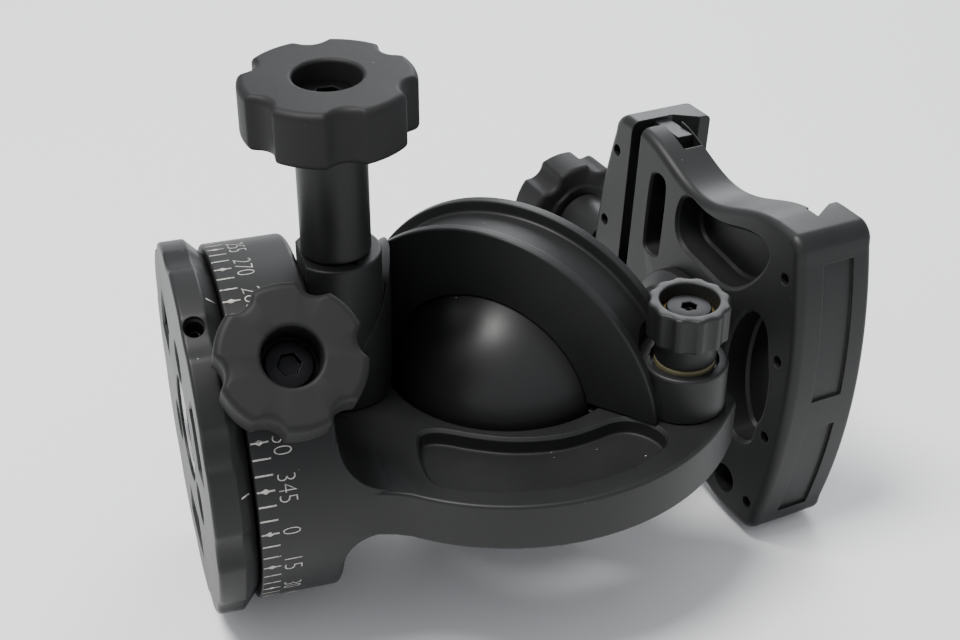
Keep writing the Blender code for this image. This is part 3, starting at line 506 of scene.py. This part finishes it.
housing = turned("body_block", eased([(0, BODY_X0 + 8.5, 0), (17, BODY_X0 + 8.5, .2), (17, BODY_X0, .2),
                                      (BODY_R, BODY_X0, .35), (BODY_R, BODY_X1, .8), (0, BODY_X1, 0)], False),
                 PAN, 360)
plate_plan = np.concatenate(([(15.5, -26.4), (20.5, -26.5), (23.2, -26.75), (25.2, -27.35)],
                             sweep(BALL_X, 0, 36.3, -128.5, -41, 60), sweep(72.3, -18.6, 7.7, -20, 80, 14),
                             sweep(BALL_X, 0, 18.9, -26, -225, 90),
                             [(30.2, 20.2), (26.2, 24.0), (15.5, 20.0)]))
plate = pressed("jaw_plate", plate_plan, rounded_ends(PLATE_BOTTOM, PLATE_TOP, 0.55, 0.55), UPRIGHT)
web_plan = [(16.0, -8.0), (29.0, -8.0), (34.5, -2.0), (36.5, 9.0), (33.0, 17.5), (28.0, 20.0), (16.0, 16.0)]
web = pressed("lower_web", softened(web_plan, 2), [(-20.0, 0), (PLATE_BOTTOM + .5, 0)], UPRIGHT)
half_ring = turned("lower_ring", ring_section(26.2, 0.0), RING, 160, True)
below = pressed("below", np.array([(0., -60), (100, -60), (100, 60), (0, 60)]),
                [(-40, 0), (PLATE_TOP - 1.0, 0)], UPRIGHT)
worked(half_ring, [below], "INTERSECT")
fillet_side = np.concatenate((sweep(26.3, 11.3, 8.0, 180, 270, 20), sweep(23.3, -9.4, 5.0, 90, 180, 16),
                              [(15.0, -9.4), (15.0, 11.3)]))
fillet = pressed("body_fillet", fillet_side, [(10.5, 0), (40, 0)], seat((0, 0, 0), (0, -1, 0), (1, 0, 0)))
worked(fillet, [turned("fillet_round", np.array([(0, 14.), (BODY_R - .02, 14), (BODY_R - .02, 30), (0, 30)]),
                       PAN, 360)],
       "INTERSECT")
worked(housing, [plate, web, half_ring, fillet], "UNION")
pocket_plan = softened([(31.6, -16.6), (32.6, -15.0), (35.2, -15.3), (39.5, -18.2), (44.9, -20.8),
                        (51.4, -22.0), (56.1, -21.4), (60.2, -20.2), (63.0, -20.6), (65.4, -22.8),
                        (66.6, -25.8), (65.4, -28.2), (61.0, -30.4), (56.3, -32.0), (47.6, -32.6),
                        (39.7, -31.2), (33.0, -28.4), (30.9, -26.1), (30.8, -20.8)])
pocket = pressed("jaw_pocket", pocket_plan, [(PLATE_TOP - 2.6, .6), (PLATE_TOP - 2.45, .25),
                                             (PLATE_TOP - 2.2, .1), (PLATE_TOP - .45, 0), (PLATE_TOP, -.45),
                                             (PLATE_TOP + 1, -1.45)],
                 UPRIGHT)


def drill(name, radius, low, high, place, steps=48):
    return turned(name, np.array([(0, low), (radius, low), (radius, high), (0, high)], float), place, steps)


worked(housing, [sphere("ball_seat", SEAT_R, BALL_PLACE), pocket, drill("main_thread", 3.4, -9, 6, MAIN),
                 drill("tension_hole", 2.6, -20, 10, EYE), drill("nut_room", 4.6, -30, PLATE_BOTTOM, EYE),
                 drill("lock_bore", 2.7, 10, 40, LOCK)])
placed(housing, anodised, "pan_body", ["body_housing"])


# ---- Degree scale: cut into the body's cylinder and filled with white paint.  A line every 5 degrees, a
# diamond and a number every 15, and two index lines on the bevel of the base.
SCALE_TURN = math.radians(-269.4)


def painted(name, pieces, surface, body):
    """One object from flat meshes, each (points, faces) with x round the axis in millimetres, y along
    it and the middle's angle; surface gives the radius at y.  Solidify gives the paint its thickness."""
    spots, faces, count = [], [], 0
    for points, joined, angle in pieces:
        radius = surface(points[:, 1])
        a = angle + points[:, 0] / radius
        spots.append(np.column_stack((points[:, 1], -radius * np.sin(a), radius * np.cos(a))))
        faces += [[k + count for k in face] for face in joined]
        count += len(points)
    mesh = bpy.data.meshes.new(name)
    mesh.from_pydata(np.concatenate(spots).tolist(), [], faces)
    made = bpy.data.objects.new(name, mesh)
    bpy.context.collection.objects.link(made)
    thick = made.modifiers.new("paint", "SOLIDIFY")
    thick.thickness, thick.offset = 0.00002, 1.0
    return placed(made, paint, body)


def number_mesh(text, tall, wide):
    """Flat mesh of a number, its height and the width of each figure fixed, centred on its width."""
    curve = bpy.data.curves.new("figures", "FONT")
    curve.body, curve.size, curve.offset, curve.resolution_u = text, 1.0, -0.022, 3
    drawn = bpy.data.objects.new("figures", curve)
    bpy.context.collection.objects.link(drawn)
    bpy.context.view_layer.update()
    flat = bpy.data.meshes.new_from_object(drawn.evaluated_get(bpy.context.evaluated_depsgraph_get()))
    bpy.data.objects.remove(drawn, do_unlink=True)
    spots = np.empty(len(flat.vertices) * 3)
    flat.vertices.foreach_get("co", spots)
    spots = spots.reshape(-1, 3)[:, :2]
    low, high = spots.min(0), spots.max(0)
    spots = (spots - (low + high) / 2) / (high - low) * (wide, tall)
    return spots, [list(face.vertices) for face in flat.polygons]


paint, shader, w = new_material("white_paint")
chip = w.noise(2600.0, 4.0).fade(0.30, 0.46)
plug(shader, Base_Color=chip.blend((0.10, 0.10, 0.10, 1), (0.42, 0.41, 0.38, 1)), Roughness=0.6,
     Normal=w.node("Bump", (), {"Strength": 0.2, "Distance": 0.00002, "Height": w.noise(6000.0)}))
marks = []
for degree in range(0, 360, 5):
    angle = SCALE_TURN + math.radians(degree)
    marks.append((np.array([(-.13, 6.5), (.13, 6.5), (.13, 9.0), (-.13, 9.0)]), [(0, 1, 2, 3)], angle))
    if degree % 15 == 0:
        marks.append((np.array([(-.42, 7.7), (0, 6.9), (.42, 7.7), (0, 8.5)]), [(0, 1, 2, 3)], angle))
        digits = str(degree)
        points, faces = number_mesh(digits, 2.55, 1.55 * len(digits) - .35)
        marks.append((points + (0, 10.75), faces, angle))
painted("degree_scale", marks, lambda y: np.full(len(y), BODY_R + .012), "pan_body")
index = [(np.array([(-.12, 4.3), (.12, 4.3), (.12, 5.5), (-.12, 5.5)]), [(0, 1, 2, 3)], math.radians(a))
         for a in (14.3, 75.7)]
painted("index_lines", index, lambda y: RIM_R - (y - 3.8) * 2.3 / 2.2 + .02, "base")


# ---- Upper arm: black anodised aluminium, milled from one block.  Its ring runs over the ball with a wide
# groove between two flanges, from the boss under the main knob to the eye at the tension screw.
ARM_LOW, EYE_TOP, BOSS_TOP = 3.7, 11.3, 28.0
arm = turned("ball_ring_arm", ring_section(28.0, 1.8), RING, 256, True)
boss = turned("boss", eased([(0, 2.7, 0), (6.5, 2.7, 0), (6.5, BOSS_TOP, .35), (0, BOSS_TOP, 0)], False),
              MAIN, 96)
arm_web = pressed("arm_web", softened([(18.0, -7.0), (27.5, -7.8), (31.2, -3.0), (33.8, 7.0), (34.0, 14.0),
                                       (29.0, 19.5), (24.0, 15.0), (18.0, 8.0)], 2), [(2.7, 0), (30.0, 0)],
                  UPRIGHT)
worked(arm_web, [sphere("round_top", 28.8, BALL_PLACE)], "INTERSECT")
eye = turned("eye", eased([(0, 1.7, 0), (6.5, 1.7, 0), (6.5, EYE_TOP, .5), (0, EYE_TOP, 0)], False), EYE, 96)
worked(arm, [boss, arm_web, eye], "UNION")
above = pressed("above", np.array([(18.8, -60.), (120, -60), (120, 60), (18.8, 60)]), [(ARM_LOW, 0), (50, 0)],
                UPRIGHT)
worked(arm, [above], "INTERSECT")
worked(arm, [sphere("ball_seat", SEAT_R, BALL_PLACE), drill("main_bore", 3.9, 0, 40, MAIN),
             drill("eye_bore", 2.6, 0, 20, EYE), drill("washer_seat", 5.1, EYE_TOP - 1.2, 20, EYE),
             turned("knob_room", eased([(0, EYE_TOP + .1, 0), (6.9, EYE_TOP + .1, .6), (6.9, 50, 0),
                                        (0, 50, 0)],
                                       False), EYE, 96)])
placed(arm, anodised, "upper_arm", ["upper_arm"])


# ---- Ball and stem: hard anodised aluminium, turned and polished to a satin black.  The stem flares to
# a flange that is screwed to the clamp.
AZIMUTH, ELEVATION, TWIST = (math.radians(a) for a in (12.6, -3.45, -0.6))
stem_out = np.array((math.cos(ELEVATION) * math.cos(AZIMUTH), math.cos(ELEVATION) * math.sin(AZIMUTH),
                     math.sin(ELEVATION)))
flat_side = np.cross((0, 0, 1), stem_out)
flat_side /= np.linalg.norm(flat_side)
across = math.cos(TWIST) * flat_side + math.sin(TWIST) * np.cross(stem_out, flat_side)
CLAMP = seat((BALL_X, 0, 0), stem_out, across)
ball_black = coated("satin_ball", (0.0095, 0.0095, 0.0095), 0.40, 0.0, 0.05, 4200.0, 0.05, 0.0, 0.7, 0.06,
                    0.9, 0.40)
placed(sphere("ball_skin", BALL_R, CLAMP, 192), ball_black, "ball", ["ball"])
neck = [(r, math.sqrt(SEAT_R ** 2 - r * r), 0) for r in (0.0, 2.2, 4.2, 5.9)]
placed(turned("stem_flare", eased(neck + [(6.2, 17.4, 0), (6.2, 27.0, 1.5), (7.4, 30.0, 1.2), (9.8, 31.6, .4),
                                          (9.8, 33.6, .2), (2.6, 33.6, 0), (2.6, 25.0, 0), (0, 25.0, 0)],
                                  False),
              CLAMP, 128), ball_black, "stem", ["ball_stem"])


# ---- Knobs: moulded grips with six round lobes and a deep well, on posts of black anodised aluminium.
# A screw with a hexagon socket at the bottom of each well holds the grip.
rubber = coated("moulded_grip", (0.0085, 0.0085, 0.0088), 0.58, 0.0, 0.12, 3800.0, 0.3, 0.008, 0.7, 0.08,
                0.25, 0.26)


def grip(name, place, radius, low, high, bite, well, bore, first, body, node, deep=3.5):
    """Lobed grip: a revolved section with rounded edges whose rim follows the notches, open through."""
    far = radius * 0.875 + bite
    section = eased([(bore, low, .2), (radius * .62, low, .3), (radius * .68, low + .5, .5),
                     (radius, low + .5, 1.0), (radius, high, 1.15), (well, high, .55),
                     (well, high - deep, .3), (bore, high - deep, .1)],
                    True, 7)
    made = turned(name, section, place, 360, True,
                  lambda a: notch(a, radius, 6, math.radians(first), bite, far, radius * .07),
                  (radius * .55, radius * .93))
    return placed(made, rubber, body, [node], 40)


grip("main_grip", MAIN, 12.25, 46.6, 55.3, 3.3, 4.8, 3.7, 29, "main_knob", "main_knob_grip")
grip("pan_lock_grip_skin", LOCK, 10.3, 29.0, 36.8, 2.8, 4.1, 3.0, 3, "pan_lock_knob", "pan_lock_grip", 6.0)
placed(turned("main_post", eased([(3.4, 28.3, .1), (5.07, 28.3, .25), (5.07, 46.3, .3), (3.4, 46.3, .1)]),
              MAIN, 128, True), anodised, "main_screw", ["main_knob_stem"])
placed(turned("pan_lock_post", eased([(2.6, 27.2, .1), (4.6, 27.2, .3), (4.6, 28.7, .2), (2.6, 28.7, .1)]),
              LOCK, 96, True), anodised, "pan_lock_knob", ["pan_lock_collar"])
placed(socketed("main_cap_screw", MAIN, 52.7, 4.0, 51.9, 2.1, 46.8, 1.9, .9), black_steel, "main_knob",
       ["main_knob_cap_screw"])
placed(socketed("pan_lock_cap_screw", LOCK, 32.2, 3.4, 31.0, 2.3, 29.2, 1.6, 1.0), black_steel,
       "pan_lock_knob", ["pan_lock_screw"])


# ---- Tension knob: small scalloped knob of black anodised aluminium on the eye, with a flat screw in its
# well, a brass ring round that, and a yellowish nylon washer beneath, its colour darkened as painted shade.
TENSION_TOP = 21.4
knob_section = eased([(2.3, EYE_TOP + .6, 0), (4.6, EYE_TOP + .6, .2), (4.6, 15.4, .2), (6.1, 15.7, .35),
                      (6.1, TENSION_TOP, .45), (4.3, TENSION_TOP, .25), (4.3, TENSION_TOP - 3.2, .1),
                      (2.3, TENSION_TOP - 3.2, .1)])
knob = turned("tension_knob_skin", knob_section, EYE, 320, True,
              lambda a: notch(a, 6.1, 12, 0.15, 3.0, 8.75, 0.12), (4.9, 6.0))
placed(knob, anodised, "tension_knob", ["tension_knob"])
placed(socketed("tension_pin", EYE, TENSION_TOP - 1.2, 3.3, TENSION_TOP - 2.7, 2.0, -8.5, 1.15, 1.0, .2),
       black_steel, "pan_body", ["tension_screw"])
placed(turned("brass_collar", eased([(3.5, 18.4, .1), (4.1, 18.4, .1), (4.1, 19.0, .15), (3.5, 19.0, .15)]),
              EYE, 96, True), brass, "tension_knob", ["tension_brass_ring"])
# Yellowish nylon, its colour darkened far below real nylon as painted shade for the washer under the knob.
nylon, shader, w = new_material("yellowed_nylon_shade_darkened")
aged = w.noise(600.0, 3.0)
plug(shader, Base_Color=aged.blend((0.09, 0.08, 0.04, 1), (0.16, 0.14, 0.08, 1)), Roughness=0.45 + aged * 0.2,
     Normal=w.node("Bump", (), {"Strength": 0.1, "Distance": 0.00002,
                                                     "Height": w.noise(5000.0)}))
placed(turned("nylon_washer", eased([(2.3, 10.4, .1), (4.5, 10.4, .15), (4.5, 11.55, .2), (2.3, 11.55, .1)]),
              EYE, 96, True), nylon, "upper_arm", ["tension_washer"])


# ---- Dovetail clamp: black anodised aluminium, milled, with swelling long sides and waisted ends.  Its
# outer face has a fixed lip, and a moving jaw rides on two pins and tongues across a narrow gap.
LOW, THICK, FLOOR, RELIEF = 33.9, 14.0, 41.9, 41.4
HIGH = LOW + THICK
ALONG = seat(CLAMP[0], CLAMP[1][:, 1], CLAMP[1][:, 2])          # X out along the stem, Y across the jaws


CLAMP_SIDE, CLAMP_SWELL, CLAMP_CORNER = 25.0, 3.0, 3.4      # half width, swell of the sides, corner radius
CLAMP_MIDDLE, CLAMP_HALF = 0.85, 27.45                      # middle and half length along the jaws
SIDE_REACH = CLAMP_HALF * 0.86                              # half length of the long sides


def clamp_plan():
    """Plan of the whole clamp: parabolic long sides, eased corners and a waist at both ends."""
    t = np.linspace(-1, 1, 41)
    sides = np.column_stack((CLAMP_SIDE + CLAMP_SWELL * (1 - t * t), SIDE_REACH * t))
    corner = sweep(CLAMP_SIDE - CLAMP_CORNER, CLAMP_HALF - CLAMP_CORNER, CLAMP_CORNER, 20, 80, 6)
    x = np.linspace(18.0, -18.0, 45)
    end = np.column_stack((x, CLAMP_HALF - 4.5 * np.cos(math.pi * x / 36) ** 2))
    left = sweep(-CLAMP_SIDE + CLAMP_CORNER, CLAMP_HALF - CLAMP_CORNER, CLAMP_CORNER, 100, 160, 6)
    upper = np.concatenate((sides, corner, end, left))
    return np.concatenate((upper, -upper)) + (0, CLAMP_MIDDLE)


plan = clamp_plan()
block = pressed("clamp_block", plan, rounded_ends(LOW, HIGH, 1.5, 1.0, 5), CLAMP)
jaw = pressed("clamp_jaw", plan, rounded_ends(LOW, HIGH, 1.5, 1.0, 5), CLAMP)
section = np.array([(LOW - 1, -40.), (HIGH + 1, -40), (HIGH + 1, -16.6), (HIGH - 2.2, -16.6), (RELIEF, -19.2),
                    (RELIEF, -16.4), (FLOOR, -16.4), (FLOOR, 16.6), (RELIEF, 17.0), (LOW - 1, 17.0)])
worked(block, [pressed("block_section", section, [(-40, 0), (40, 0)], ALONG)], "INTERSECT")
jaw_section = np.array([(LOW - 1, 19.6), (FLOOR, 19.6), (HIGH - 2.2, 17.0), (HIGH + 1, 17.0), (HIGH + 1, 40.),
                        (LOW - 1, 40)])
worked(jaw, [pressed("jaw_section", jaw_section, [(-40, 0), (40, 0)], ALONG)], "INTERSECT")


def sunk(name, outline, depth, flare=0.5, rounds=3):
    """Cutter for a milled pocket in the underside, flared at its mouth."""
    return pressed(name, softened(outline, rounds), [(LOW - 1, -flare - 1), (LOW, -flare), (LOW + flare, 0),
                                                     (LOW + depth - .5, .15), (LOW + depth, .6)], CLAMP)


high_pocket = [(3.8, 23.0), (5.3, 17.5), (3.6, 13.6), (-2.0, 12.9), (-9.8, 11.8), (-15.8, 16.9),
               (-18.4, 22.4), (-16.8, 24.2), (-12.6, 24.0), (-7.5, 22.2), (-1.8, 21.6)]
near_pocket = [(-15.6, 11.9), (-19.8, 11.7), (-21.4, 6.2), (-22.5, 2.4), (-22.4, -4.1), (-21.1, -6.7),
               (-20.8, -10.7), (-15.6, -12.0), (-12.6, -7.0), (-11.6, 0.0), (-12.6, 7.0)]
slot = [(9.0, 8.0), (12.6, 8.0), (13.0, 10.0), (13.0, 20.5), (12.4, 22.6), (9.4, 22.6), (8.8, 20.5),
        (8.8, 10.0)]
holes = [drill("hole", r, LOW - 1, LOW + d, seat(CLAMP[0] + CLAMP[1] @ (x, y, 0), CLAMP[1][:, 2],
                                                 CLAMP[1][:, 0]))
         for x, y, r, d in ((-22.4, 20.8, 1.0, 4), (-23.9, 6.9, 1.0, 4), (-23.9, -7.3, 1.0, 4),
                            (-22.4, -21.2, 1.0, 4), (-16.1, -20.6, 2.5, 3.5))]
lower_pocket = [pressed("lower_pocket", softened([(x, -y) for x, y in high_pocket[:6]] + [(-15.0, -15.4),
                                                                                          (-12, -20)]),
                        [(LOW - 1, -1.4), (LOW, -.4), (LOW + .4, 0), (LOW + 4.6, .2), (LOW + 5, .6)], CLAMP)]
side_u = np.linspace(-1, 1, 25)


def panel(low_u, high_u):
    """Cutter for a shallow panel that follows the swell of the near side."""
    u = low_u + (high_u - low_u) * (side_u + 1) / 2
    wall = -(CLAMP_SIDE + CLAMP_SWELL * (1 - ((u - CLAMP_MIDDLE) / SIDE_REACH) ** 2)) + 0.45
    edge = np.concatenate((np.column_stack((wall, u)), np.column_stack((np.full(25, -36.0), u[::-1]))))
    return pressed("side_panel", edge, [(LOW + 4.6, 0), (LOW + 10.4, 0)], CLAMP)


def tongues(name, low_w, high_w, room):
    """A square tongue, or with some room the groove for it, across the gap at both ends of the clamp."""
    return [pressed(name, np.array([(LOW + 4.6 - room, low_w), (LOW + 7.4 + room, low_w),
                                    (LOW + 7.4 + room, high_w), (LOW + 4.6 - room, high_w)]),
                    [(a, 0), (b, 0)], ALONG)
            for a, b in ((21.0 - room, 27.6 + 5 * room), (-25.9 - 5 * room, -19.3 + room))]


CLAMP_AXIS = seat(CLAMP[0] + CLAMP[1] @ (0, 0, LOW + 4.6), CLAMP[1][:, 0], CLAMP[1][:, 1])
worked(block, [sunk("high_pocket", high_pocket, 5.0), sunk("near_pocket", near_pocket, 5.0),
               sunk("slot", slot, 4.0, .35, 2), panel(0.5, 23.6), panel(-22.8, -5.0),
               drill("screw_bore", 3.0, 4, 20, CLAMP_AXIS),
               turned("stem_screw_seat", np.array([(0, LOW - 1), (2.8, LOW - 1), (2.8, FLOOR - 3.2),
                                                   (4.8, FLOOR - 3.2), (4.8, FLOOR - .3), (5.1, FLOOR),
                                                   (5.1, FLOOR + 1), (0, FLOOR + 1)]),
                      CLAMP, 64)] + holes + lower_pocket)
for end in (14.5, -14.5):
    pin_place = seat(CLAMP[0] + CLAMP[1] @ (0, end, LOW + 4.6), CLAMP[1][:, 0], CLAMP[1][:, 1])
    worked(block, [drill("pin_bore", 1.5, 7, 20, pin_place, 32)])
    worked(jaw, [drill("pin_seat", 1.5, 19, 22.8, pin_place, 32)])
worked(jaw, tongues("tongue", 13.0, 20.2, 0.0), "UNION")
worked(block, tongues("groove", 10.6, 18.0, 0.4))
worked(jaw, [drill("jaw_hole", 1.0, LOW - 1, LOW + 4, seat(CLAMP[0] + CLAMP[1] @ (x, y, 0), CLAMP[1][:, 2],
                                                           CLAMP[1][:, 0]))
             for x, y in ((23.2, 21.6), (24.8, 7.6), (24.8, -7.6), (23.2, -21.0))]
       + [drill("screw_way", 3.0, 10, 40, CLAMP_AXIS)])
placed(block, anodised, "clamp", ["clamp_body"])
placed(jaw, anodised, "moving_jaw", ["moving_jaw"])
placed(socketed("stem_cap_screw", CLAMP, FLOOR - .4, 4.3, FLOOR - 2.9, 2.3, 25.4, 2.4, 1.6), black_steel,
       "clamp", ["stem_screw"])
grip("clamp_grip_skin", CLAMP_AXIS, 10.1, 38.5, 46.5, 2.8, 4.1, 3.0, 20, "clamp_knob", "clamp_knob_grip")
placed(turned("clamp_post", eased([(2.8, 28.4, .1), (5.0, 28.4, .3), (5.0, 38.2, .3), (2.8, 38.2, .1)]),
              CLAMP_AXIS, 96, True), anodised, "clamp_knob", ["clamp_knob_sleeve"])
placed(socketed("clamp_cap_screw", CLAMP_AXIS, 44.3, 3.4, 43.2, 2.3, 38.7, 1.6, 1.0), black_steel,
       "clamp_knob", ["clamp_knob_screw"])


# ---- Inner pieces that stay as they are: rings, studs, pins and the hub, each with its own metal.
for names, finish in ((("pan_hub", "jaw_guide_pin_1", "jaw_guide_pin_2"), bright_steel),
                      (("pan_thrust_ring", "pan_brake_shoe", "main_knob_insert"), brass),
                      (("pan_snap_ring",), spring_steel),
                      (("tension_nut", "main_stud", "pan_lock_stud", "clamp_screw"), black_steel)):
    for name in names:
        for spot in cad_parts[name].material_slots:
            spot.material = finish
